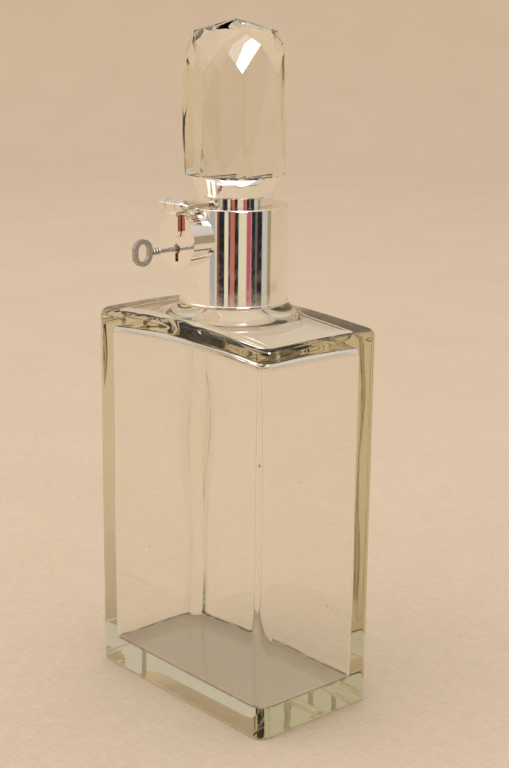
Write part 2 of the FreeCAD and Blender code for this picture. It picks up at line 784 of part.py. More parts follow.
def make_strap():
    """A pierced arm that ends in the two outer knuckles."""
    top = "(strap_foot + strap_thick)"
    bar_back = "(hinge_depth - knuckle_radius - bar_gap)"
    arm = block("strap_arm", ("-strap_half", f"-{bar_back} - bar_wide", "strap_foot"),
                ("strap_half", "-strap_end", top))
    bar = block("strap_bar", ("-barrel_half", f"-{bar_back} - bar_wide", "strap_foot"),
                ("barrel_half", f"-{bar_back} + 1", top))
    inner = "(tongue_half + knuckle_gap)"
    left_web = block("strap_web_left", ("-barrel_half", "-hinge_depth", "strap_foot"),
                     (f"-{inner}", f"-{bar_back}", top))
    right_web = block("strap_web_right", (inner, "-hinge_depth", "strap_foot"),
                      ("barrel_half", f"-{bar_back}", top))
    left = knuckle("knuckle_left", "-barrel_half", f"-{inner}")
    right = knuckle("knuckle_right", inner, "barrel_half")
    solid = fuse("strap_solid", [arm, bar, left_web, right_web, left, right])
    room = rod("strap_room", "z", ("0", "0", "strap_foot - 2"), "mount_radius", "10")
    piercing = block("strap_piercing", ("-piercing_half", "-piercing_far", "strap_foot - 1"),
                     ("piercing_half", "-piercing_near", f"{top} + 1"))
    bore = rod("strap_bore", "x", ("-10", "-hinge_depth", "hinge_height"), "pin_radius", "20")
    finish(cut("hasp_strap", solid, fuse("strap_cuts", [room, piercing, bore])), "hasp_strap")


def make_pin():
    """A plain pin, and at each end a flat cap with a round knob standing on it."""
    pin = rod("hinge_pin", "x", ("-barrel_half", "-hinge_depth", "hinge_height"), "pin_radius",
              "barrel_half * 2")
    finish(pin, "hinge_pin")
    ends = []
    for name, start, middle in (
            ("left", "-barrel_half - cap_long", "-barrel_half - cap_long - knob_radius * 0.4"),
            ("right", "barrel_half", "barrel_half + cap_long + knob_radius * 0.4")):
        cap = rod(f"pin_cap_{name}", "x", (start, "-hinge_depth", "hinge_height"), "cap_radius",
                  "cap_long")
        knob = ball(f"pin_knob_{name}", (middle, "-hinge_depth", "hinge_height"), "knob_radius")
        ends.append(fuse(f"pin_end_{name}", [cap, knob]))
    group = doc.addObject("Part::Compound", "hinge_pin_ends")
    group.Links = ends
    finish(group, "hinge_pin_ends")


def make_tongue():
    """The middle knuckle with a plate hanging from it, round at its foot, with a bead across."""
    front = "(tongue_back + tongue_thick)"
    plate = block("tongue_plate", ("-tongue_half", f"-{front}", "tongue_foot + tongue_half"),
                  ("tongue_half", "-tongue_back", "hinge_height"))
    foot = rod("tongue_round", "y", ("0", "-tongue_back", "tongue_foot + tongue_half"),
               "tongue_half", "tongue_thick")
    bead = rod("tongue_bead", "x", ("-tongue_half", f"-{front}", "hinge_height - tongue_bead_drop"), "1.0",
               "tongue_half * 2")
    middle = knuckle("knuckle_middle", "-tongue_half", "tongue_half")
    bore = rod("tongue_bore", "x", ("-10", "-hinge_depth", "hinge_height"), "pin_radius + pin_gap",
               "20")
    back = block("tongue_clear", ("-5", "-tongue_back", "tongue_foot"),
                 ("5", "-tongue_back + 5", "hinge_height - knuckle_radius"))
    solid = fuse("tongue_solid", [plate, foot, bead, middle])
    finish(cut("hasp_tongue", solid, fuse("tongue_cuts", [bore, back])), "hasp_tongue")


def make_staple():
    """An upright eye plate whose foot is an arc about the hinge, so that it swings through its slot."""
    plate = block("staple_plate", ("-staple_half", "-tongue_back", "staple_foot"),
                  ("staple_half", "-staple_tip", "staple_top"))
    swing = rod("staple_swing", "x", ("-5", "-hinge_depth", "hinge_height"), "staple_swing", "10")
    shaped = common("staple_shaped", [plate, swing])
    eye = rod("staple_eye", "x", ("-5", "-peg_depth", "peg_height"), "eye_radius", "10")
    finish(cut("hasp_staple", shaped, eye), "hasp_staple")


# ---------------------------------------------------------------- build, check and write

for make in (make_bottle, make_collar, make_lock_case, make_face_plate, make_back_plate,
             make_works_fixings, make_bolt, make_lever, make_curtain, make_key, make_stopper,
             make_mount, make_strap, make_pin, make_tongue, make_staple):
    make()
doc.recompute()

for thing in doc.Objects:
    if "Invalid" in thing.State or "Error" in thing.State:
        raise RuntimeError(f"{thing.Name} ({thing.Label}) is {thing.State}")
for part in finished:
    if part.Shape.isNull() or not part.Shape.isValid():
        raise RuntimeError(f"{part.Label} has no valid shape")

os.makedirs("parts", exist_ok=True)
for part in finished:
    part.Shape.exportStep(f"parts/{part.Label}.step")
    print(f"{part.Label:20s} {part.Shape.Volume:10.1f} mm3, solids {len(part.Shape.Solids)}")
print(len(finished), "sub-parts written")
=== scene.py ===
# %% [markdown]
# # A silver-mounted decanter that locks
# A tall block of clear glass has a silver collar plastered round its neck, a drum lock on the collar,
# and a faceted glass stopper whose hasp drops into the lock. This lesson finishes a measured model of
# it. The frame holds every sub-part at its true size, so nothing here is moved. The silver and the lock
# keep their own shapes and get better finishes, the bottle is made again as a finer surface, and the
# stopper gets eased edges.
# %% Load the frame
import math

import bmesh
import bpy
import numpy as np
from mathutils import Matrix, Vector


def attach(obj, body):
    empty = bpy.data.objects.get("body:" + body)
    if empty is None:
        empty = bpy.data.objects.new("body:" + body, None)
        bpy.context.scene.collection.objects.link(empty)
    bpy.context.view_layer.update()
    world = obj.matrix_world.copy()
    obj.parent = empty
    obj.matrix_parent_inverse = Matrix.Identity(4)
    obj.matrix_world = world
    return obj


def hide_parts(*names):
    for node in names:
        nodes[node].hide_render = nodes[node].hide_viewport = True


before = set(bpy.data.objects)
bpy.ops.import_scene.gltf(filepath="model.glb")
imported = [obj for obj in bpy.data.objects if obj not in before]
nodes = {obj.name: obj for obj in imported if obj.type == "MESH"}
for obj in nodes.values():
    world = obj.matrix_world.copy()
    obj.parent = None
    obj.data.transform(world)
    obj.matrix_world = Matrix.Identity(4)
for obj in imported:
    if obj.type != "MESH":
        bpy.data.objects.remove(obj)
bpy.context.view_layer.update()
MM = 0.001

# %% [markdown]
# ## Two helpers
# A surface here is a grid of points: one number says how far round the piece a point is, the other how
# far along. NumPy works the whole grid out at once and Blender takes it as one list. Each ring of
# points is joined to the next by four-sided faces, and a fan of triangles closes a pole.
# %% Grid to faces
def band_faces(rings, around, first=0):
    """Faces that join each ring to the next: corners (i, j), (i, j+1), (i+1, j+1), (i+1, j)."""
    i, j = np.meshgrid(np.arange(rings - 1), np.arange(around), indexing="ij")
    k = (j + 1) % around
    corners = [i * around + j, i * around + k, (i + 1) * around + k, (i + 1) * around + j]
    return first + np.stack(corners, axis=-1).reshape(-1, 4)


def pole_faces(ring_start, around, pole, flip):
    """A fan of triangles from one ring to a pole, wound the other way when flip is true."""
    j = np.arange(around)
    here = ring_start + j
    after = ring_start + (j + 1) % around
    pair = (after, here) if flip else (here, after)
    return np.stack([pair[0], pair[1], np.full(around, pole)], axis=-1)


print("faces between two rings of five points:", len(band_faces(2, 5)))

# %% [markdown]
# A piece is an object with its place in its mesh, so its origin stays at the world's origin. It rides on
# one body of the mechanism, takes one of the finishes made here, and may stand in for a plainer sub-part.
# %% Mesh to piece
def put_in_scene(name, data):
    """A new object in the scene's own collection."""
    thing = bpy.data.objects.new(name, data)
    bpy.context.scene.collection.objects.link(thing)
    return thing


def piece_from(mesh, material, body, replaces):
    """A smooth piece from a mesh, riding on a body and taking the place of a CAD node."""
    mesh.shade_smooth()
    mesh.materials.clear()
    mesh.materials.append(material)
    thing = put_in_scene(mesh.name, mesh)
    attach(thing, body)
    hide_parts(replaces)
    print(f"{mesh.name}: {len(mesh.polygons)} faces, in place of {replaces}")
    return thing


# %% [markdown]
# ## Building a material
# A finish is a small network of nodes. The helper makes an empty one, and then nodes are added and
# joined by name. Patterns read Object coordinates, which are metres here, so a noise of scale 100 has
# features about a centimetre across.
# %% Material helper
class Finish:
    """A material under construction: its node tree, its shader and the places its patterns read."""

    def __init__(self, name):
        self.material = bpy.data.materials.new(name)
        self.material.use_nodes = True
        self.tree = self.material.node_tree
        self.shader = self.tree.nodes["Principled BSDF"]
        self.output = self.tree.nodes["Material Output"]
        self.places = self.add("ShaderNodeTexCoord").outputs["Object"]

    def add(self, kind, settings=None, **sockets):
        """A node with its settings, and with sockets set to a value or joined to an output."""
        node = self.tree.nodes.new(kind)
        for key, value in (settings or {}).items():
            setattr(node, key, value)
        for key, value in sockets.items():
            self.put(node.inputs[key.replace("_", " ")], value)
        return node

    def put(self, socket, value):
        """Join an output to a socket, or set the socket's own value."""
        if isinstance(value, bpy.types.NodeSocket):
            self.tree.links.new(value, socket)
        else:
            socket.default_value = value

    def noise(self, scale, detail=3.0, stretch=(1, 1, 1)):
        """A noise's grey output, its pattern pulled out along the axes where stretch is small."""
        spread = self.add("ShaderNodeMapping", Vector=self.places, Scale=stretch)
        return self.add("ShaderNodeTexNoise", Vector=spread.outputs[0], Scale=scale,
                        Detail=detail).outputs["Fac"]

    def ramp(self, grey, *stops):
        """A colour ramp over a grey value; each stop is a place and a colour."""
        node = self.add("ShaderNodeValToRGB", Fac=grey)
        line = node.color_ramp.elements
        line[0].position, line[0].color = stops[0][0], (*stops[0][1], 1)
        line[1].position, line[1].color = stops[-1][0], (*stops[-1][1], 1)
        for place, colour in stops[1:-1]:
            line.new(place).color = (*colour, 1)
        return node.outputs["Color"]

    def span(self, grey, low, high, start=0.35, end=0.65):
        """A grey value stretched to run from low to high."""
        node = self.add("ShaderNodeMapRange", Value=grey, From_Min=start, From_Max=end, To_Min=low,
                        To_Max=high)
        return node.outputs["Result"]

    def bump(self, height, distance, strength=1.0, after=None):
        """A bump's normal, laid over an earlier bump when there is one."""
        node = self.add("ShaderNodeBump", Height=height, Distance=distance, Strength=strength)
        if after is not None:
            self.put(node.inputs["Normal"], after)
        return node.outputs["Normal"]

    def shade(self, **sockets):
        """Set or join the shader's sockets, and give the finished material."""
        for key, value in sockets.items():
            self.put(self.shader.inputs[key.replace("_", " ")], value)
        return self.material


# %% [markdown]
# ## Glass
# Old decanter glass is clear with a faint olive cast that only shows where light runs through a lot of
# it, so the tint is an absorption inside the glass and the surface itself is white. Hand finishing
# leaves a slow ripple in the surface, and years of wiping leave very faint hairlines.
# %% Glass finish
def glass_finish(name, ripple, tint, density):
    """Clear glass with a slow ripple and hairlines; tint and density say what it absorbs in a metre."""
    f = Finish(name)
    slow = f.bump(f.noise(45.0, 1.0), ripple)
    fine = f.bump(f.noise(2600.0, 2.0, (1, 1, 0.08)), 0.0000008, 0.4, slow)
    rough = f.span(f.noise(120.0, 4.0), 0.0, 0.022, 0.45, 0.8)
    f.shade(Base_Color=(1, 1, 1, 1), Roughness=rough, Transmission_Weight=1.0, IOR=1.51, Normal=fine)
    depth = f.add("ShaderNodeVolumeAbsorption", Color=(*tint, 1), Density=density)
    f.put(f.output.inputs["Volume"], depth.outputs[0])
    return f.material


bottle_glass = glass_finish("bottle_glass", 0.00004, (0.895, 0.875, 0.77), 28.0)
stopper_crystal = glass_finish("stopper_crystal", 0.000005, (0.94, 0.915, 0.80), 18.0)
print("glass:", bottle_glass.name, stopper_crystal.name)

# %% [markdown]
# ## The bottle
# The bottle was blown into a mould, so its outside is a crisp rounded block while its inside wanders.
# Both are drawn as rings. A ring is a rounded rectangle whose four corner radii may differ, and on the
# shoulder it melts into the circle of the neck. Lengths in these cells are millimetres.
# %% A ring of the bottle
SIDE_LONG, SIDE_SHORT, CORNER = 60, 38, 16


def ring(half_x, half_y, rounds):
    """Rounded rectangle, anticlockwise from the right end of the front: four sides and four arcs."""
    signs = ((1, -1), (1, 1), (-1, 1), (-1, -1))
    arcs = []
    for quarter, ((sx, sy), radius) in enumerate(zip(signs, rounds)):
        angle = np.radians(-90 + 90 * quarter + np.linspace(0, 90, CORNER))
        arcs.append(np.stack([sx * (half_x - radius) + radius * np.cos(angle),
                              sy * (half_y - radius) + radius * np.sin(angle)], -1))
    parts = []
    for quarter, arc in enumerate(arcs):
        count = SIDE_SHORT if quarter % 2 == 0 else SIDE_LONG
        part = np.linspace(0, 1, count + 2)[1:-1, None]
        parts += [arc, arc[-1] * (1 - part) + arcs[(quarter + 1) % 4][0] * part]
    return np.concatenate(parts)


def at_height(flat, height):
    """A flat ring lifted to one height, or to a height for each point."""
    return np.column_stack([flat, np.broadcast_to(height, len(flat))])


print("points in a ring:", len(ring(2.0, 1.0, (0.5,) * 4)))

# %% [markdown]
# The height on the shoulder depends only on the distance from the axis, because the shoulder is a
# turned surface: a gentle cone that ends in a hollow arc at the neck. The same two functions serve the
# outside and the inside, each with its own neck and arc.
# %% Shoulder
SLOPE = 0.09


def shoulder(reach, neck, arc, arc_top):
    """Height at a distance from the axis: arc_top - sqrt(arc^2 - d^2) inside the arc, a cone outside."""
    corner = neck + arc
    hollow = arc_top - np.sqrt(np.clip(arc ** 2 - (corner - reach) ** 2, 0, None))
    return np.where(reach < corner, hollow, arc_top - arc - SLOPE * (reach - corner))


def melt(outer, neck, arc, arc_top, count):
    """Rings from an outline in to the neck's circle, closer together as the arc steepens."""
    circle = neck * outer / np.linalg.norm(outer, axis=1, keepdims=True)
    share = 1 - (1 - np.linspace(0, 1, count)) ** 2
    rings = []
    for s in share:
        flat = outer * (1 - s) + circle * s
        rings.append(at_height(flat, shoulder(np.linalg.norm(flat, axis=1), neck, arc, arc_top)))
    return rings


def roll(half_x, half_y, rounds, radius, count, flat_height, up=True):
    """Rings over a rolled edge: inset r - r sin(a) as the height nears the flat's by r - r cos(a)."""
    rings = []
    for a in np.radians(np.linspace(0, 90, count)):
        inset = radius * (1 - math.cos(a))
        flat = ring(half_x - inset, half_y - inset, [max(r - inset, 0.3) for r in rounds])
        drop = radius * (1 - math.sin(a))
        rings.append(at_height(flat, flat_height(flat) + (-drop if up else drop)))
    return rings


# %% [markdown]
# The outside runs from the middle of the base, round the base edge, up the walls, over the rolled rim,
# across the shoulder and up the neck, which stands a hair inside the plaster. Two surfaces in exactly
# the same place would show as black specks.
# %% Outside of the bottle
LONG, SHORT, OUT_ROUND = 56.0, 32.2, 6.0
NECK, ARC, ARC_TOP = 19.5, 14.0, 182.4
RIM_ROLL, FOOT_ROLL = 3.0, 1.2
HAIR, LIP, MOUTH = 0.08, 0.5, 213.1


def outside_top(flat):
    """Height of the outer shoulder over a flat ring."""
    return shoulder(np.linalg.norm(flat, axis=1), NECK, ARC, ARC_TOP)


out_rounds = [OUT_ROUND] * 4
rim = roll(LONG, SHORT, out_rounds, RIM_ROLL, 12, outside_top)
foot = roll(LONG, SHORT, out_rounds, FOOT_ROLL, 6, lambda flat: np.zeros(len(flat)), up=False)[::-1]
base = [at_height(foot[0][:, :2] * s, 0.0) for s in (0.02, 0.3, 0.6, 0.85, 0.97)]
plan = ring(LONG, SHORT, out_rounds)
low, high = foot[-1][:, 2], rim[0][:, 2]
shares = (0.003, 0.02, *np.linspace(0.06, 0.94, 22), 0.98, 0.997)
walls = [at_height(plan, low + (high - low) * share) for share in shares]
over = melt(rim[-1][:, :2], NECK, ARC, ARC_TOP, 34)[1:]
neck_turn = over[-1][:, :2] * (1 - HAIR / NECK)
neck = [at_height(neck_turn, z) for z in (183.2, 190.0, 200.0, 210.0, 212.4)]
neck += [at_height(neck_turn * (NECK - LIP * (1 - math.cos(a))) / NECK, MOUTH - LIP * (1 - math.sin(a)))
         for a in np.radians((30, 60, 90))]
outside = base + foot + walls + rim + over + neck
print("outside rings:", len(outside))

# %% [markdown]
# The inside is the same kind of surface turned the other way. The far corner of the cavity swells and
# shrinks as it goes down, which is the wandering line that shows through the near walls of blown glass.
# Slow waves of a fraction of a millimetre run over all four walls.
# %% How the inside wanders
WALL, FLOOR = 7.5, 11.0
IN_NECK, IN_ARC, IN_TOP = 11.7, 13.0, 174.0
CEILING_AT = 155.0


def cavity_rounds(z):
    """Corner radii at a height; the far left one has a wide place half way up and another at the foot."""
    swell = 7.0 * math.exp(-((z - 96.0) / 34.0) ** 2) + 6.0 * math.exp(-(z - FLOOR) / 20.0)
    spread = 3.0 * math.exp(-(z - FLOOR) / 9.0)
    return [1.6 + 0.3 * math.sin(z / 21.0), 2.6 + 0.4 * spread, 7.0 + swell, 2.6 + 0.4 * spread]


def waves(flat, z):
    """Push a ring's points in or out along their own direction by two slow sine waves."""
    across, deep = flat[:, 0], flat[:, 1]
    push = 0.22 * np.sin(across / 13.0 + z / 19.0) * np.sin(z / 31.0 + 0.7)
    push += 0.16 * np.sin(deep / 9.0 - z / 23.0 + 1.1)
    return flat * (1 + push / 40.0)[:, None]


def inside_top(flat):
    """Height of the inner shoulder over a flat ring."""
    return shoulder(np.linalg.norm(flat, axis=1), IN_NECK, IN_ARC, IN_TOP)


print("cavity corners half way up, mm:", np.round(cavity_rounds(96.0), 1))

# %% [markdown]
# The rings go from the mouth down: the ground seat for the stopper, the inner shoulder, the walls and
# the floor, which rises half a millimetre in the middle. The waves fade out near the top and the bottom
# of the walls, so they meet the rolled edges without a step.
# %% Inside of the bottle
CEILING_ROLL, FLOOR_ROLL, FLOOR_RISE = 3.4, 1.5, 0.5

in_x, in_y = LONG - WALL, SHORT - WALL
ceiling = roll(in_x, in_y, cavity_rounds(CEILING_AT), CEILING_ROLL, 12, inside_top)
in_low, in_high = FLOOR + FLOOR_ROLL, ceiling[0][:, 2]
in_walls = []
for share in (0.997, 0.98, *np.linspace(0.95, 0.05, 46), 0.02, 0.003):
    z = in_low + (in_high.mean() - in_low) * share
    fade = min(1.0, 8.0 * share, 8.0 * (1.0 - share))
    flat = ring(in_x, in_y, cavity_rounds(z))
    in_walls.append(at_height(flat + (waves(flat, z) - flat) * fade, in_low + (in_high - in_low) * share))
floor_edge = roll(in_x, in_y, cavity_rounds(in_low), FLOOR_ROLL, 9,
                  lambda flat: np.full(len(flat), FLOOR), up=False)
crown = [at_height(floor_edge[-1][:, :2] * s, FLOOR + FLOOR_RISE * (1 - s))
         for s in (0.96, 0.8, 0.6, 0.35, 0.12, 0.02)]
into = melt(ceiling[-1][:, :2], IN_NECK, IN_ARC, IN_TOP, 30)[1:][::-1]
unit = into[0][:, :2] / IN_NECK
seat_profile = ((13.2, MOUTH), (12.93, 212.8), (12.5, 205.0), (11.98, 193.0), (11.7, 188.0), (11.7, 181.0))
seat = [at_height(unit * reach, z) for reach, z in seat_profile]
inside = seat + into + ceiling[::-1][1:] + in_walls + floor_edge + crown
print("inside rings:", len(inside))

# %% [markdown]
# Glass of this age holds a few seeds, which are bubbles of air that rose too slowly to leave it. Each is
# a small egg, a little longer than it is wide, and its faces are turned to the air inside it.
# %% Seeds
SEED_RINGS, SEED_AROUND = 7, 12


def seed(centre, size, long, start):
    """An egg drawn on two angles: size sin(u) out from its middle line and size long cos(u) along it."""
    up = np.linspace(0, math.pi, SEED_RINGS + 2)[1:-1, None]
    about = np.linspace(0, 2 * math.pi, SEED_AROUND, endpoint=False)[None, :]
    egg = np.stack([size * np.sin(up) * np.cos(about), size * np.sin(up) * np.sin(about),
                    size * long * np.cos(up) * np.ones_like(about)], -1).reshape(-1, 3)
    ends = np.array([[0, 0, size * long], [0, 0, -size * long]])
    pole = start + SEED_RINGS * SEED_AROUND
    faces = [band_faces(SEED_RINGS, SEED_AROUND, start), pole_faces(start, SEED_AROUND, pole, True),
             pole_faces(pole - SEED_AROUND, SEED_AROUND, pole + 1, False)]
    return np.concatenate([egg, ends]) + centre, faces


seeds = (((50.2, -28.6, 118.0), 0.42, 1.5), ((52.6, 6.5, 50.0), 0.3, 1.3), ((52.4, 9.5, 47.5), 0.22, 1.2),
         ((-20.0, -28.4, 64.0), 0.28, 1.6), ((31.0, -29.0, 30.0), 0.24, 1.3),
         ((-44.0, -28.2, 132.0), 0.3, 1.4), ((12.0, 28.0, 90.0), 0.3, 1.5), ((-52.0, 10.0, 40.0), 0.25, 1.2))
print("seeds in the glass:", len(seeds))

# %% [markdown]
# The outside and the inside are one closed skin that turns over at the mouth. A pole closes it under the
# base and another on the cavity's floor, and the seeds are added to the same mesh, so the glass is one
# solid with hollows in it.
# %% Bottle
rings = outside + inside
count = len(rings[0])
skin = np.concatenate(rings)
poles = np.array([[0, 0, 0.0], [0, 0, FLOOR + FLOOR_RISE]])
last_ring = (len(rings) - 1) * count
points = [skin, poles]
faces = [band_faces(len(rings), count), pole_faces(0, count, len(skin), True),
         pole_faces(last_ring, count, len(skin) + 1, False)]
start = len(skin) + len(poles)
for centre, size, long in seeds:
    more, sides = seed(np.array(centre), size, long, start)
    points.append(more)
    faces += sides
    start += len(more)
glass_mesh = bpy.data.meshes.new("decanter_bottle")
every_face = [face.tolist() for part in faces for face in part]
glass_mesh.from_pydata((np.concatenate(points) * MM).tolist(), [], every_face)
bottle = piece_from(glass_mesh, bottle_glass, "decanter", "glass_bottle")

# %% [markdown]
# ## The stopper
# The head was cut on a wheel and then polished, which takes the razor edge off every facet, and each
# eased edge catches its own line of light. The frame has the right facets with sharp edges. A copy of
# its mesh is merged, and its coplanar triangles are joined into whole facets. Below the head the glass
# stands a hair away from the plaster and the neck, as a ground joint does.
# %% Facets of the stopper
HEAD_FOOT = 226.9

cut = bmesh.new()
cut.from_mesh(nodes["stopper_glass"].data)
bmesh.ops.remove_doubles(cut, verts=cut.verts, dist=HAIR * MM)
bmesh.ops.dissolve_limit(cut, angle_limit=math.radians(0.6), verts=cut.verts, edges=cut.edges)
stopper_mesh = bpy.data.meshes.new("cut_stopper")
cut.to_mesh(stopper_mesh)
cut.free()
places = np.empty(3 * len(stopper_mesh.vertices))
stopper_mesh.vertices.foreach_get("co", places)
places = places.reshape(-1, 3)
reach = np.maximum(np.linalg.norm(places[:, :2], axis=1, keepdims=True), MM)
below = places[:, 2:] < HEAD_FOOT * MM
places[:, :2] *= np.where(below, 1 - HAIR * MM / reach, 1.0)
stopper_mesh.vertices.foreach_set("co", places.ravel())
stopper = piece_from(stopper_mesh, stopper_crystal, "stopper", "stopper_glass")

# %% [markdown]
# A bevel modifier eases the edges. It works only where two faces meet at more than 11 degrees, so the
# round plug below keeps its shape, and hardened normals keep the facets flat.
# %% Eased edges
ease = stopper.modifiers.new("eased_edges", "BEVEL")
ease.width = 0.3 * MM
ease.segments = 2
ease.limit_method = "ANGLE"
ease.angle_limit = math.radians(11)
ease.harden_normals = True
print("edges eased by", round(ease.width / MM, 2), "mm")

# %% [markdown]
# ## Silver
# Polished silver is a mirror with very little of its own colour, a touch warmer than white. What makes
# it look real is what disturbs the mirror: shallow dents from handling, hairline scratches from
# polishing, and a thin yellow-brown tarnish where the cloth reaches less often.
# %% Silver finish
def silver_finish(name, along):
    """Polished silver whose hairlines run along the axis where along is small."""
    f = Finish(name)
    stain = f.span(f.noise(70.0, 5.0), 0.0, 1.0, 0.45, 0.75)
    colour = f.ramp(stain, (0.0, (0.97, 0.955, 0.93)), (0.7, (0.95, 0.92, 0.87)), (1.0, (0.86, 0.79, 0.68)))
    rough = f.span(f.noise(300.0, 5.0), 0.03, 0.11)
    dents = f.bump(f.noise(110.0, 1.5), 0.00003, 0.6)
    lines = f.bump(f.noise(5200.0, 3.0, along), 0.0000012, 0.35, dents)
    return f.shade(Base_Color=colour, Metallic=1.0, Roughness=rough, Normal=lines)


def give_finishes(by_finish):
    """Put each finish on its sub-parts' own material slots."""
    for material, names in by_finish.items():
        for name in names:
            nodes[name].data.materials[0] = material
        print(material.name, "on", ", ".join(names))


give_finishes({
    silver_finish("collar_silver", (1, 1, 0.03)):
        ("collar_sleeve", "collar_top_ring", "collar_foot_bead", "stopper_mount"),
    silver_finish("lock_silver", (1, 0.05, 1)): ("lock_case", "lock_face_plate"),
    silver_finish("hasp_silver", (0.1, 1, 1)): ("hasp_strap", "hinge_pin_ends", "hasp_tongue", "hasp_staple"),
})

# %% [markdown]
# ## Steel, brass and plaster
# The key is old steel: grey, worn bright on its high places and freckled with dark oxide. The works are
# sawn and filed brass gone dull. Plaster beds the collar and the stopper's mount; it is chalky and pitted.
# %% Steel, brass and plaster finishes
def steel_finish():
    """Worn grey steel with dark freckles and fine pits."""
    f = Finish("worn_steel")
    freckle = f.span(f.noise(700.0, 4.0), 0.0, 0.8, 0.5, 0.8)
    colour = f.ramp(freckle, (0.0, (0.50, 0.475, 0.45)), (0.6, (0.36, 0.335, 0.31)),
                    (1.0, (0.10, 0.075, 0.055)))
    rough = f.span(f.noise(700.0, 4.0), 0.2, 0.42)
    pits = f.bump(f.noise(1500.0, 5.0), 0.00002, 0.5)
    return f.shade(Base_Color=colour, Metallic=1.0, Roughness=rough, Normal=pits)


def brass_finish():
    """Dull brass with file marks along X."""
    f = Finish("dull_brass")
    bloom = f.noise(260.0, 5.0)
    colour = f.ramp(bloom, (0.3, (0.62, 0.42, 0.16)), (0.55, (0.78, 0.58, 0.27)), (0.8, (0.42, 0.27, 0.12)))
    file_marks = f.bump(f.noise(3000.0, 3.0, (0.05, 1, 1)), 0.000006, 0.6)
    return f.shade(Base_Color=colour, Metallic=1.0, Roughness=f.span(bloom, 0.24, 0.42), Normal=file_marks)


def plaster_finish():
    """Chalky plaster whose pits and tone come from the same noise."""
    f = Finish("bedding_plaster")
    chalk = f.noise(400.0, 6.0)
    colour = f.ramp(chalk, (0.3, (0.70, 0.65, 0.56)), (0.6, (0.83, 0.79, 0.71)), (0.85, (0.90, 0.87, 0.80)))
    return f.shade(Base_Color=colour, Roughness=f.span(chalk, 0.75, 0.95), Normal=f.bump(chalk, 0.0001, 0.6))


give_finishes({
    steel_finish(): ("hinge_pin", "key", "back_plate_screws", "lever_post", "lever_spring",
                     "bolt_guide_stud", "bolt_peg"),
    brass_finish(): ("lock_back_plate", "lock_bolt", "lock_lever", "keyhole_curtain"),
    plaster_finish(): ("plaster_bedding", "mount_bedding"),
})

# %% [markdown]
# ## The table and the room
# The bottle stands on a table covered with pale linen. Linen has threads both ways, so two noises are
# added, one pulled out along X and one along Y, and a slow patchiness is multiplied over them.
# %% Linen finish
def table_finish():
    """Pale linen: the mean of two stretched noises for the weave, times a slow change of tone."""
    f = Finish("pale_linen")
    tone = f.noise(9.0, 2.0)
    warp = f.noise(1500.0, 2.0, (1, 0.12, 1))
    weft = f.noise(1500.0, 2.0, (0.12, 1, 1))
    both = f.add("ShaderNodeMath", {"operation": "ADD"})
    f.put(both.inputs[0], warp)
    f.put(both.inputs[1], weft)
    weave = f.add("ShaderNodeMath", {"operation": "MULTIPLY"})
    f.put(weave.inputs[0], both.outputs[0])
    weave.inputs[1].default_value = 0.5
    cloth = f.ramp(weave.outputs[0], (0.36, (0.76, 0.62, 0.475)), (0.64, (0.86, 0.71, 0.555)))
    patch = f.ramp(tone, (0.3, (0.97, 0.96, 0.95)), (0.7, (1, 1, 1)))
    mix = f.add("ShaderNodeMix", {"data_type": "RGBA", "blend_type": "MULTIPLY"})
    factor, first_colour, second_colour = mix.inputs[0], mix.inputs[6], mix.inputs[7]
    f.put(factor, 1.0)
    f.put(first_colour, cloth)
    f.put(second_colour, patch)
    return f.shade(Base_Color=mix.outputs[2], Roughness=0.9, Normal=f.bump(weave.outputs[0], 0.0002, 0.3))


# %% [markdown]
# The table runs back and curls up far away, so no edge of it shows. It is one surface of rings: flat near
# the middle, then height = 1.2 s^2 metres as s goes from 0 to 1 over the last 1.4 metres. It lies a
# third of a millimetre under the glass, so the two never share a plane.
# %% Table
FLAT_TO, EDGE_AT, CURL, TABLE_AT = 2.2, 3.6, 1.2, -0.0003

radius = np.concatenate([np.linspace(0.05, FLAT_TO, 20), np.linspace(2.3, EDGE_AT, 24)])[:, None]
about = np.linspace(0, 2 * math.pi, 96, endpoint=False)[None, :]
rise = CURL * np.clip((radius - FLAT_TO) / (EDGE_AT - FLAT_TO), 0, 1) ** 2
cloth = np.stack([radius * np.cos(about), radius * np.sin(about),
                  rise * np.ones_like(about) + TABLE_AT], -1).reshape(-1, 3)
table_mesh = bpy.data.meshes.new("table")
table_faces = [*band_faces(len(radius), about.size), *pole_faces(0, about.size, len(cloth), True)]
table_mesh.from_pydata([*cloth.tolist(), [0, 0, TABLE_AT]], [], [f.tolist() for f in table_faces])
table_mesh.shade_smooth()
table_mesh.materials.append(table_finish())
put_in_scene("table", table_mesh)
print("table reaches", EDGE_AT, "m")

# %% [markdown]
# Silver shows whatever stands round it, so a studio hangs cards and cloths where only the mirror will
# see them. Here they are glowing cards on a curved rail behind the camera, painted reflections of a
# room. They are hidden from everything except reflections, so they neither light the table nor show
# through the glass.
# %% Card helpers
CAMERA_TURN = math.radians(-40.975)
CARD_STEPS = 6
RAIL = 0.92


def reflection_glow(name, colour, strength):
    """A plain glow of one colour, the painted reflection on a card that only mirrors see."""
    material = bpy.data.materials.new(name)
    material.use_nodes = True
    tree = material.node_tree
    tree.nodes.clear()
    glow = tree.nodes.new("ShaderNodeEmission")
    glow.inputs["Color"].default_value = (*colour, 1)
    glow.inputs["Strength"].default_value = strength
    out = tree.nodes.new("ShaderNodeOutputMaterial")
    tree.links.new(glow.outputs[0], out.inputs["Surface"])
    return material


